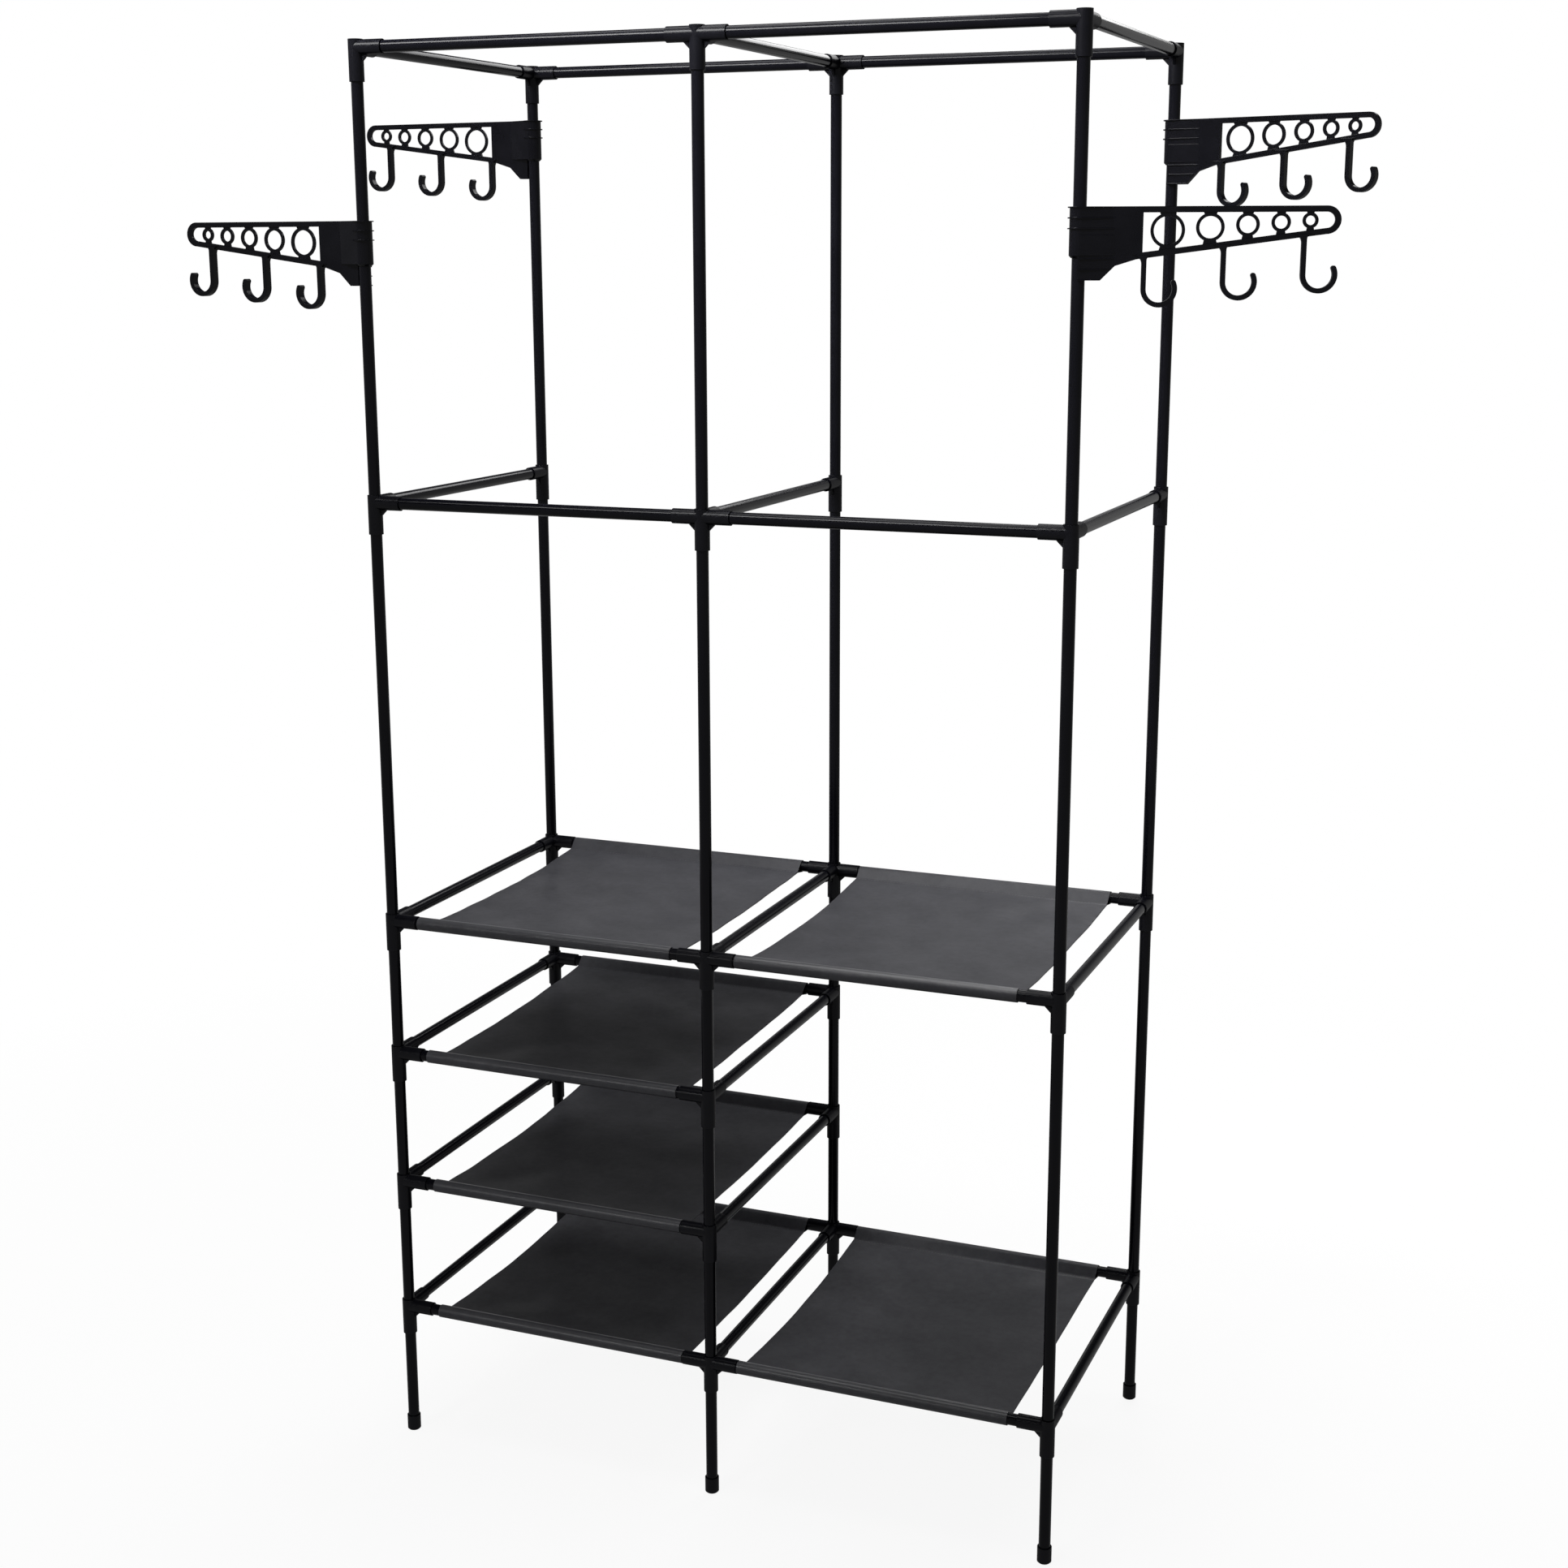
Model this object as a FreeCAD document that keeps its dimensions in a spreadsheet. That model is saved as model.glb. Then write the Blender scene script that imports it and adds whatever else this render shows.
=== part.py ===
# Open frame wardrobe: plug-together steel tubes, moulded connectors and feet, six fabric
# shelves and four swivelling hook racks. Millimetres, X to the right, Y to the back, Z up.
# The origin is on the floor, midway between the four corner posts.
import FreeCAD, Part
import os
import re

import Sketcher

# Driving sizes

SIZES = {
    # Tubes and the spacing of their axes
    "tube_od": 14.0,
    "bay_pitch": 425.0,
    "depth_pitch": 424.0,
    "leg_height": 174.6,
    "shelf_step": 172.3,
    "long_step": 517.0,
    # Moulded connectors
    "tube_fit": 0.05,
    "post_wall": 1.65,
    "arm_wall": 1.5,
    "post_rise": 0.6,
    "arm_reach": 35.5,
    "sleeve_drop": 37.5,
    "rail_seat": 12.0,
    "stop_below": 11.0,
    "stop_thickness": 3.0,
    "gusset_leg": 9.0,
    "gusset_thickness": 3.0,
    "gusset_sink": 1.0,
    # Push-on feet
    "foot_wall": 1.5,
    "foot_height": 20.0,
    "foot_floor": 3.0,
    "foot_bevel": 1.5,
    # Fabric shelves
    "fabric_thickness": 0.8,
    "fabric_gap": 0.3,
    "shelf_sag": 10.0,
    "shelf_end_gap": 6.5,
    # How far each sheet has slid along its rails, as a share of the gap at its end
    "slide_bottom_left": 0.85,
    "slide_bottom_right": -0.85,
    "slide_lower_left": 0.8,
    "slide_upper_left": 0.4,
    "slide_shelf_top_left": -0.55,
    "slide_shelf_top_right": -0.7,
    # Hook rack clip, which turns on the post
    "rack_fit": 0.05,
    "clip_wall": 3.15,
    "clip_height": 51.3,
    "clip_tail": 34.0,
    "clip_bevel": 2.4,
    "swell_start": 28.3,
    "swell_height": 1.2,
    "rib_height": 2.0,
    "rib_thickness": 1.2,
    "rib_pitch": 10.6,
    "tab_start": 1.0,
    "tab_depth": 73.7,
    "tab_corner": 22.1,
    "shoulder_reach": 36.9,
    "shoulder_depth": 59.2,
    # Hook rack arm, a tapering frame
    "arm_offset": 3.0,
    "arm_thickness": 5.0,
    "arm_end_reach": 247.8,
    "arm_end_radius": 14.05,
    "bar_width": 6.1,
    "bar_root_reach": 58.0,
    "bar_root_depth": 52.7,
    "window_start": 64.5,
    "window_depth": 45.6,
    # Rings of falling size inside the arm: the first has ring_radius where the next is
    # ring_pitch away, and its webs take shares of its radius
    "ring_thickness": 3.0,
    "ring_wall": 3.3,
    "ring_reach": 89.3,
    "ring_radius": 17.4,
    "ring_shrink": 0.822,
    "ring_pitch": 42.6,
    "pitch_shrink": 0.88,
    "ring_end_gap": 16.4,
    "ring_gap": 0.5,
    "web_root": 0.55,
    "web_neck": 0.42,
    "web_sink": 0.4,
    # Hooks under the arm
    "hook_reach": 66.3,
    "hook_pitch": 79.8,
    "hook_end_gap": 21.9,
    "hook_drop": 82.3,
    "hook_rise": 7.0,
    "hook_bend": 15.9,
    "hook_strip": 5.1,
    "hook_width": 9.0,
    "hook_heel": 9.0,
    "hook_flare": 5.5,
    "hook_tip_angle": 25.0,
    # Where each rack sits: its drop below the top rails and its turn about the post
    "front_left_drop": 191.6,
    "front_left_turn": 175.4,
    "front_right_drop": 183.5,
    "front_right_turn": 15.4,
    "back_left_drop": 59.1,
    "back_left_turn": 177.3,
    "back_right_drop": 77.4,
    "back_right_turn": -17.0,
}

RING_COUNT = 5
HOOK_COUNT = 3
RIB_COUNT = 3
SOCKET_FLATS = 8

doc = FreeCAD.newDocument("open_frame_wardrobe")
sheet = doc.addObject("Spreadsheet::Sheet", "sizes")
for row, (alias, size) in enumerate(SIZES.items(), start=1):
    sheet.set(f"A{row}", alias)
    sheet.set(f"B{row}", str(size))
    sheet.setAlias(f"B{row}", alias)
doc.recompute()

# Sizes that follow from the sheet, written as expressions

SOCKET_R = "(tube_od / 2 + tube_fit)"
POST_R = "(tube_od / 2 + tube_fit + post_wall)"
ARM_R = "(tube_od / 2 + tube_fit + arm_wall)"
POST_TOP = "(tube_od / 2 + tube_fit + arm_wall + post_rise)"
LOWER_SEAT = "(stop_below + stop_thickness)"
RAIL_BORE_R = "(tube_od / 2 + fabric_gap)"
FABRIC_R = "(tube_od / 2 + fabric_gap + fabric_thickness)"
CLIP_BORE_R = "(tube_od / 2 + rack_fit)"
CLIP_R = "(tube_od / 2 + rack_fit + clip_wall)"
SWELL_R = "(tube_od / 2 + rack_fit + clip_wall + swell_height)"
RIB_R = "(tube_od / 2 + rack_fit + clip_wall + rib_height)"
ARM_NEAR = "(arm_thickness / 2 - arm_offset)"
ARM_FAR = "(-arm_thickness / 2 - arm_offset)"

POST_X = {"left": "-bay_pitch", "middle": "0", "right": "bay_pitch"}
POST_Y = {"front": "-depth_pitch / 2", "back": "depth_pitch / 2"}
LEVEL_Z = {
    "bottom": "leg_height",
    "lower": "leg_height + shelf_step",
    "upper": "leg_height + 2 * shelf_step",
    "shelf_top": "leg_height + 3 * shelf_step",
    "middle": "leg_height + 3 * shelf_step + long_step",
    "top": "leg_height + 3 * shelf_step + 2 * long_step",
}
# The two closest levels cross the left bay only, and the middle level is open at the back
LEFT_BAY_LEVELS = ("lower", "upper")
OPEN_BACK_LEVEL = "middle"

X_AXIS = FreeCAD.Vector(1, 0, 0)
Y_AXIS = FreeCAD.Vector(0, 1, 0)
Z_AXIS = FreeCAD.Vector(0, 0, 1)
UPRIGHT = FreeCAD.Rotation()
ALONG_X = FreeCAD.Rotation(Y_AXIS, 90)
ALONG_Y = FreeCAD.Rotation(X_AXIS, -90)
SKETCH_ACROSS_X = FreeCAD.Rotation(FreeCAD.Vector(1, 1, 1), 120)
ARM_DIRECTION = {0: (1, 0), 90: (0, 1), 180: (-1, 0)}


# Binding helpers


def qualified(text):
    """The expression with each sheet alias written as a reference to the sheet."""
    return re.sub(r"[a-z]\w*", lambda m: f"sizes.{m[0]}" if m[0] in SIZES else m[0], text)


def value(text):
    return float(sheet.evalExpression(text))


def bind(obj, **expressions):
    for prop, text in expressions.items():
        obj.setExpression(prop, qualified(text))
    return obj


def place(obj, x="0", y="0", z="0", rotation=UPRIGHT):
    obj.Placement = FreeCAD.Placement(FreeCAD.Vector(), rotation)
    for axis, text in zip("xyz", (x, y, z)):
        obj.setExpression(f"Placement.Base.{axis}", qualified(text))
    return obj


def primitive(kind, name, **expressions):
    return bind(doc.addObject(f"Part::{kind}", name), **expressions)


def fuse(name, shapes):
    fused = doc.addObject("Part::MultiFuse", name)
    fused.Shapes = shapes
    return fused


def cut(name, base, tool):
    result = doc.addObject("Part::Cut", name)
    result.Base = base
    result.Tool = tool
    return result


# Sketch helpers


def limit(sketch, kind, elements, text):
    """Adds a dimension to the sketch and binds it to an expression."""
    index = sketch.addConstraint(Sketcher.Constraint(kind, *elements, value(text)))
    sketch.setExpression(f"Constraints[{index}]", qualified(text))


def arc_between(start, end, radius, turn, major):
    """An arc from start to end. turn is 1 for anticlockwise travel and -1 for clockwise."""
    chord = end - start
    half = chord.Length / 2
    rise = max(radius * radius - half * half, 0.0) ** 0.5
    side = FreeCAD.Vector(-chord.y, chord.x, 0).normalize()
    centre = (start + end) / 2 + side * rise * turn * (-1 if major else 1)
    full = Part.Circle(centre, Z_AXIS, radius)
    first, last = (start, end) if turn > 0 else (end, start)
    return Part.ArcOfCircle(full, full.parameter(first), full.parameter(last))


def outline(sketch, corners):
    """Adds a closed loop. A corner is (x, y), or (x, y, radius, turn, major) to leave it by an arc."""
    points = [FreeCAD.Vector(value(c[0]), value(c[1]), 0) for c in corners]
    ends = []
    for i, corner in enumerate(corners):
        start, end = points[i], points[(i + 1) % len(points)]
        if len(corner) == 2:
            edge = sketch.addGeometry(Part.LineSegment(start, end))
            ends.append((edge, 1, 2))
            continue
        radius, turn, major = corner[2:]
        edge = sketch.addGeometry(arc_between(start, end, value(radius), turn, major))
        ends.append((edge, 1, 2) if turn > 0 else (edge, 2, 1))
        limit(sketch, "Radius", (edge,), radius)
    for i, corner in enumerate(corners):
        edge, first, _ = ends[i]
        before, _, last = ends[i - 1]
        sketch.addConstraint(Sketcher.Constraint("Coincident", before, last, edge, first))
        limit(sketch, "DistanceX", (-1, 1, edge, first), corner[0])
        limit(sketch, "DistanceY", (-1, 1, edge, first), corner[1])


def circle(sketch, x, y, radius):
    centre = FreeCAD.Vector(value(x), value(y), 0)
    edge = sketch.addGeometry(Part.Circle(centre, Z_AXIS, value(radius)))
    limit(sketch, "DistanceX", (-1, 1, edge, 3), x)
    limit(sketch, "DistanceY", (-1, 1, edge, 3), y)
    limit(sketch, "Radius", (edge,), radius)


def sketch_on(body, name, plane, offset="0"):
    """A sketch on one of the body's own origin planes, moved along that plane's normal."""
    sketch = body.newObject("Sketcher::SketchObject", name)
    support = [f for f in body.Origin.OriginFeatures if f.Role == plane]
    sketch.AttachmentSupport = [(support[0], "")]
    sketch.MapMode = "FlatFace"
    sketch.setExpression("AttachmentOffset.Base.z", qualified(offset))
    return sketch


def pad_across(body, sketch, thickness):
    """Thickens a sketch equally to both sides."""
    feature = body.newObject("PartDesign::Pad", f"{sketch.Name}_pad")
    feature.Profile = sketch
    feature.SideType = "Symmetric"
    bind(feature, Length=thickness)


def pad_down(body, sketch, height):
    """Thickens a level sketch downward."""
    feature = body.newObject("PartDesign::Pad", f"{sketch.Name}_pad")
    feature.Profile = sketch
    feature.Reversed = True
    bind(feature, Length=height)


def turn_about_post(body, sketch):
    feature = body.newObject("PartDesign::Revolution", f"{sketch.Name}_turned")
    feature.Profile = sketch
    feature.ReferenceAxis = (sketch, ["V_Axis"])
    feature.Angle = 360


def pocket_through(body, sketch):
    """Cuts a sketch right through the body, both ways."""
    doc.recompute()
    before = body.Shape.Volume
    feature = body.newObject("PartDesign::Pocket", f"{sketch.Name}_pocket")
    feature.Profile = sketch
    feature.Type = "ThroughAll"
    feature.SideType = "Symmetric"
    doc.recompute()
    if body.Shape.Volume >= before:
        raise RuntimeError(f"{sketch.Name} cuts nothing")


# Tubes: black steel, closed at both ends by the mouldings


def tube(name, length):
    return primitive("Cylinder", name, Radius="tube_od / 2", Height=length)


# Connectors: sleeves over the tube ends, with stops inside


def socket(name, depth, x="0", y="0", z="0", rotation=UPRIGHT):
    """A blind hole whose flats pinch the tube."""
    hole = primitive("Prism", name, Height=depth, Circumradius=f"{SOCKET_R} / cos(180 / {SOCKET_FLATS})")
    hole.Polygon = SOCKET_FLATS
    return place(hole, x, y, z, rotation)


def gusset(name, dx, dy, turn):
    """The small triangular web in the corner under an arm."""
    half = "gusset_thickness / 2"
    web = primitive("Wedge", name, Xmax="gusset_leg", Ymax="gusset_leg", Zmax=half, Z2max=half)
    bind(web, Zmin=f"-{half}", Z2min=f"-{half}")
    web.Xmin = web.Ymin = web.X2min = web.X2max = 0
    inset = f"({POST_R} - gusset_sink)"
    rotation = turn.multiply(FreeCAD.Rotation(X_AXIS, -90))
    return place(web, f"{dx} * {inset}", f"{dy} * {inset}", f"gusset_sink - {ARM_R}", rotation)


def connector(name, arms, open_top):
    """A moulded joint: a post sleeve, just above the arms at its top, and arms at the given angles."""
    sleeve = primitive("Cylinder", f"{name}_post", Radius=POST_R, Height=f"sleeve_drop + {POST_TOP}")
    solids = [place(sleeve, z="-sleeve_drop")]
    holes = [socket(f"{name}_lower_socket", f"sleeve_drop - {LOWER_SEAT}", z="-sleeve_drop")]
    if open_top:
        holes.append(socket(f"{name}_upper_socket", f"stop_below + {POST_TOP}", z="-stop_below"))
    for angle in arms:
        dx, dy = ARM_DIRECTION[angle]
        turn = FreeCAD.Rotation(Z_AXIS, angle)
        along = turn.multiply(ALONG_X)
        arm = primitive("Cylinder", f"{name}_arm_{angle}", Radius=ARM_R, Height="arm_reach")
        solids.append(place(arm, rotation=along))
        solids.append(gusset(f"{name}_gusset_{angle}", dx, dy, turn))
        seat = (f"{dx} * rail_seat", f"{dy} * rail_seat", "0")
        holes.append(socket(f"{name}_socket_{angle}", "arm_reach - rail_seat", *seat, along))
    return cut(name, fuse(f"{name}_solid", solids), fuse(f"{name}_sockets", holes))


# Feet


def foot_cap():
    """A cup with a bevelled bottom edge, pushed on to the leg."""
    blank = doc.addObject("PartDesign::Body", "foot_blank")
    radius = f"({SOCKET_R} + foot_wall)"
    profile = sketch_on(blank, "foot_profile", "XZ_Plane")
    corners = [
        ("0", "0"),
        (f"{radius} - foot_bevel", "0"),
        (radius, "foot_bevel"),
        (radius, "foot_height"),
        ("0", "foot_height"),
    ]
    outline(profile, corners)
    turn_about_post(blank, profile)
    return cut("foot_cap", blank, socket("foot_socket", "foot_height - foot_floor", z="foot_floor"))


# Fabric shelves


def fabric_shelf():
    """A sheet with a sewn sleeve round the front and the back rail, sagging between them."""
    width = "(bay_pitch - 2 * arm_reach - 2 * shelf_end_gap)"
    sleeves, bores = [], []
    for row, y in POST_Y.items():
        for part, radius, made in (("sleeve", FABRIC_R, sleeves), ("bore", RAIL_BORE_R, bores)):
            round_bar = primitive("Cylinder", f"fabric_{row}_{part}", Radius=radius, Height=width)
            made.append(place(round_bar, f"-{width} / 2", y, rotation=ALONG_X))
    profile = doc.addObject("Sketcher::SketchObject", "fabric_profile")
    profile.Placement = FreeCAD.Placement(FreeCAD.Vector(), SKETCH_ACROSS_X)
    radius = "((depth_pitch / 2) ^ 2 + shelf_sag ^ 2) / (2 * shelf_sag)"
    front, back = POST_Y["front"], POST_Y["back"]
    corners = [
        (front, f"-{FABRIC_R}", radius, 1, False),
        (back, f"-{FABRIC_R}"),
        (back, f"-{RAIL_BORE_R}", radius, -1, False),
        (front, f"-{RAIL_BORE_R}"),
    ]
    outline(profile, corners)
    sag = bind(doc.addObject("Part::Extrusion", "fabric_sheet"), LengthFwd=width)
    sag.Base = profile
    sag.DirMode = "Normal"
    sag.Solid = True
    sag.Symmetric = True
    return cut("fabric_shelf", fuse("fabric_solid", sleeves + [sag]), fuse("fabric_bores", bores))


# Hook rack, one moulding: X runs out along the arm from the post axis, Z is 0 along its top edge


def ring_reach(index):
    """The rings run from the first one to the last, which keeps its distance to the arm's end."""
    run = "(arm_end_reach - ring_end_gap - ring_reach)"
    share = f"(1 - pitch_shrink ^ {index}) / (1 - pitch_shrink ^ {RING_COUNT - 1})"
    return f"(ring_reach + {run} * {share})"


def ring_radius(index):
    return f"(ring_radius * ({ring_reach(1)} - ring_reach) / ring_pitch * ring_shrink ^ {index})"


def hook_reach(index):
    """The last hook keeps its distance to the arm's end, and the one before it is a pitch away."""
    if index == 0:
        return "hook_reach"
    return f"(arm_end_reach - hook_end_gap - hook_pitch * {HOOK_COUNT - 1 - index})"


def window_floor(reach):
    """The height of the lower bar's inner edge at a distance along the arm."""
    fall = "(window_depth - 2 * arm_end_radius + bar_width) / (arm_end_reach - window_start)"
    return f"(({reach} - window_start) * {fall} - window_depth)"


def rack_arm(body):
    """The tapering plate with its long window, both rounded at the far end."""
    plate = sketch_on(body, "arm_plate", "XZ_Plane", "arm_offset")
    corners = [
        (CLIP_R, "0"),
        (CLIP_R, "-tab_depth"),
        ("tab_corner", "-tab_depth"),
        ("shoulder_reach", "-shoulder_depth"),
        ("bar_root_reach", "-bar_root_depth"),
        ("arm_end_reach", "-2 * arm_end_radius", "arm_end_radius", 1, False),
        ("arm_end_reach + arm_end_radius", "-arm_end_radius", "arm_end_radius", 1, False),
        ("arm_end_reach", "0"),
    ]
    outline(plate, corners)
    pad_across(body, plate, "arm_thickness")
    window = sketch_on(body, "arm_window", "XZ_Plane", "arm_offset")
    radius = "(arm_end_radius - bar_width)"
    corners = [
        ("window_start", "-bar_width"),
        ("window_start", "-window_depth"),
        ("arm_end_reach", "bar_width - 2 * arm_end_radius", radius, 1, False),
        (f"arm_end_reach + {radius}", "-arm_end_radius", radius, 1, False),
        ("arm_end_reach", "-bar_width"),
    ]
    outline(window, corners)
    pocket_through(body, window)


def rack_rings(body):
    """Rings in a row, each held to both bars by a flared web."""
    names = ("rings", "upper_webs", "lower_webs")
    rings, upper_webs, lower_webs = [sketch_on(body, n, "XZ_Plane", "arm_offset") for n in names]
    for index in range(RING_COUNT):
        x, radius = ring_reach(index), ring_radius(index)
        z = f"(-bar_width - ring_gap - {radius})"
        circle(rings, x, z, radius)
        circle(rings, x, z, f"{radius} - ring_wall")
        root, neck = f"web_root * {radius}", f"web_neck * {radius}"
        crown = f"({radius} * sqrt(1 - web_neck ^ 2) - web_sink)"
        left, right = f"({x} - {root})", f"({x} + {root})"
        corners = [
            (left, "-bar_width / 2"),
            (f"{x} - {neck}", f"{z} + {crown}"),
            (f"{x} + {neck}", f"{z} + {crown}"),
            (right, "-bar_width / 2"),
        ]
        outline(upper_webs, corners)
        corners = [
            (left, f"{window_floor(left)} - bar_width / 2"),
            (right, f"{window_floor(right)} - bar_width / 2"),
            (f"{x} + {neck}", f"{z} - {crown}"),
            (f"{x} - {neck}", f"{z} - {crown}"),
        ]
        outline(lower_webs, corners)
    for sketch in (rings, upper_webs, lower_webs):
        pad_across(body, sketch, "ring_thickness")


def rack_hook(body, index):
    """A J of flat strip with a rounded tip, flared where it leaves the lower bar."""
    stem = hook_reach(index)
    root = f"({window_floor(stem)} - bar_width / 2)"
    bend_x, bend_z = f"({stem} + hook_bend)", f"(hook_rise * {index} - hook_drop)"
    half = "hook_strip / 2"
    inner, outer = f"(hook_bend - {half})", f"(hook_bend + {half})"
    cosine, sine = "cos(hook_tip_angle)", "sin(hook_tip_angle)"
    left, right = f"({stem} - {half})", f"({stem} + {half})"
    profile = sketch_on(body, f"hook_{index + 1}", "XZ_Plane", "arm_offset")
    tip_x = f"{bend_x} + hook_bend * {cosine} - {half} * {sine}"
    tip_z = f"{bend_z} + hook_bend * {sine} + {half} * {cosine}"
    corners = [
        (f"{left} - hook_heel", root, "hook_heel", -1, False),
        (left, f"{root} - hook_heel"),
        (left, bend_z, outer, 1, True),
        (f"{bend_x} + {outer} * {cosine}", f"{bend_z} + {outer} * {sine}", half, 1, False),
        (tip_x, tip_z, half, 1, False),
        (f"{bend_x} + {inner} * {cosine}", f"{bend_z} + {inner} * {sine}", inner, -1, True),
        (right, bend_z),
        (right, f"{root} - hook_flare", "hook_flare", -1, False),
        (f"{right} + hook_flare", root),
    ]
    outline(profile, corners)
    pad_across(body, profile, "hook_width")


def tangent_point(radius, tail_x, tail_y, side):
    """Where a line from the tail touches a round about the post, on the side +1 or -1."""
    reach = f"sqrt({tail_x} ^ 2 + {tail_y} ^ 2)"
    angle = f"(atan2({tail_y}; {tail_x}) + {side} * acos({radius} / {reach}))"
    return f"{radius} * cos({angle})", f"{radius} * sin({angle})"


def half_shell(sketch, radius, tail_x):
    """The side of the clip that carries the tab: a part of a round and its line out to the arm."""
    corners = [
        ("-tab_start", "-arm_offset"),
        ("-tab_start", f"-sqrt({radius} ^ 2 - tab_start ^ 2)", radius, 1, False),
        tangent_point(radius, tail_x, ARM_FAR, -1),
        (tail_x, ARM_FAR),
        (tail_x, "-arm_offset"),
    ]
    outline(sketch, corners)


def rack_clip(body):
    """The sleeve round the post, drawn out to the arm, swollen on the side that carries the tab."""
    sleeve = sketch_on(body, "clip_sleeve", "XZ_Plane")
    corners = [
        (CLIP_BORE_R, "0"),
        (CLIP_BORE_R, "-clip_height"),
        (f"{CLIP_R} - clip_bevel", "-clip_height"),
        (CLIP_R, "clip_bevel - clip_height"),
        (CLIP_R, "0"),
    ]
    outline(sleeve, corners)
    turn_about_post(body, sleeve)
    tail = sketch_on(body, "clip_tail", "XY_Plane")
    corners = [
        tangent_point(CLIP_R, "clip_tail", ARM_FAR, -1),
        ("clip_tail", ARM_FAR),
        ("clip_tail", ARM_NEAR),
        tangent_point(CLIP_R, "clip_tail", ARM_NEAR, 1),
    ]
    outline(tail, corners)
    pad_down(body, tail, "clip_height - clip_bevel")
    tab = sketch_on(body, "clip_tab", "XY_Plane", "clip_bevel - clip_height")
    half_shell(tab, CLIP_R, "clip_tail")
    pad_down(body, tab, "tab_depth - clip_height + clip_bevel")
    swell = sketch_on(body, "clip_swell", "XY_Plane", "-swell_start")
    half_shell(swell, SWELL_R, "shoulder_reach")
    pad_down(body, swell, "clip_height - clip_bevel - swell_start")


def rack_ribs(body):
    """Ribs round the sleeve and out along the tab's side of the clip, and more down the tab."""
    for index in range(RIB_COUNT):
        rib = sketch_on(body, f"sleeve_rib_{index + 1}", "XY_Plane", f"-rib_pitch * {index}")
        corners = [
            (f"sqrt({RIB_R} ^ 2 - arm_offset ^ 2)", "-arm_offset", RIB_R, 1, True),
            tangent_point(RIB_R, "shoulder_reach", ARM_FAR, -1),
            ("shoulder_reach", ARM_FAR),
            ("shoulder_reach", "-arm_offset"),
        ]
        outline(rib, corners)
        pad_down(body, rib, "rib_thickness")
        tab_level = f"rib_pitch * {index} + rib_thickness - tab_depth"
        tab_rib = sketch_on(body, f"tab_rib_{index + 1}", "XY_Plane", tab_level)
        half_shell(tab_rib, RIB_R, "shoulder_reach")
        pad_down(body, tab_rib, "rib_thickness")


def hook_rack():
    body = doc.addObject("PartDesign::Body", "hook_rack")
    rack_arm(body)
    rack_rings(body)
    for index in range(HOOK_COUNT):
        rack_hook(body, index)
    rack_clip(body)
    rack_ribs(body)
    corner = sketch_on(body, "tab_corner_cut", "XZ_Plane")
    corners = [
        ("tab_corner", "-tab_depth"),
        ("shoulder_reach", "-tab_depth"),
        ("shoulder_reach", "-shoulder_depth"),
    ]
    outline(corner, corners)
    pocket_through(body, corner)
    bore = sketch_on(body, "clip_bore", "XY_Plane")
    circle(bore, "0", "0", CLIP_BORE_R)
    pocket_through(body, bore)
    return body


# The masters that the pieces are copied from

short_upright = tube("short_upright", "shelf_step - stop_thickness")
tall_upright = tube("tall_upright", "3 * shelf_step - stop_thickness")
long_upright = tube("long_upright", "long_step - stop_thickness")
leg_tube = tube("leg_tube", f"leg_height - foot_floor - {LOWER_SEAT}")
bay_rail = tube("bay_rail", "bay_pitch - 2 * rail_seat")
depth_rail = tube("depth_rail", "depth_pitch - 2 * rail_seat")
top_corner = connector("top_corner", (0, 90), open_top=False)
top_tee = connector("top_tee", (0, 90, 180), open_top=False)
post_corner = connector("post_corner", (0, 90), open_top=True)
post_tee = connector("post_tee", (0, 90, 180), open_top=True)
post_single = connector("post_single", (90,), open_top=True)
foot = foot_cap()
shelf = fabric_shelf()
rack = hook_rack()

nodes = []


def copy(master, x, y, z, rotation=UPRIGHT):
    """One more piece like the master, set in its place."""
    link = doc.addObject("App::Link", f"{master.Name}_piece")
    link.LinkedObject = master
    return place(link, x, y, z, rotation)


def add_node(label, pieces):
    node = doc.addObject("Part::Compound", label)
    node.Label = label
    node.Links = pieces
    nodes.append(node)


def posts_at(level):
    return ("left", "middle") if level in LEFT_BAY_LEVELS else ("left", "middle", "right")


def joint(level, row, side):
    """The connector for one crossing, and how far it is turned about the post."""
    last = posts_at(level)[-1]
    if level == OPEN_BACK_LEVEL and row == "back":
        return post_single, 180
    if side not in ("left", last):
        return (top_tee if level == "top" else post_tee), (0 if row == "front" else 180)
    turns = {"front": (0, 90), "back": (270, 180)}
    return (top_corner if level == "top" else post_corner), turns[row][side == last]


# Connectors and rails, level by level

for level, z in LEVEL_Z.items():
    for row, y in POST_Y.items():
        pieces = []
        for side in posts_at(level):
            master, turn = joint(level, row, side)
            pieces.append(copy(master, POST_X[side], y, z, FreeCAD.Rotation(Z_AXIS, turn)))
        add_node(f"connectors_{level}_{row}", pieces)
        if level == OPEN_BACK_LEVEL and row == "back":
            continue
        starts = posts_at(level)[:-1]
        rails = [copy(bay_rail, f"{POST_X[s]} + rail_seat", y, z, ALONG_X) for s in starts]
        add_node(f"rails_{level}_{row}", rails)
    start = f"{POST_Y['front']} + rail_seat"
    sides = posts_at(level)
    add_node(f"depth_rails_{level}", [copy(depth_rail, POST_X[s], start, z, ALONG_Y) for s in sides])

# Uprights, post by post, with the legs and feet under them

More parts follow.
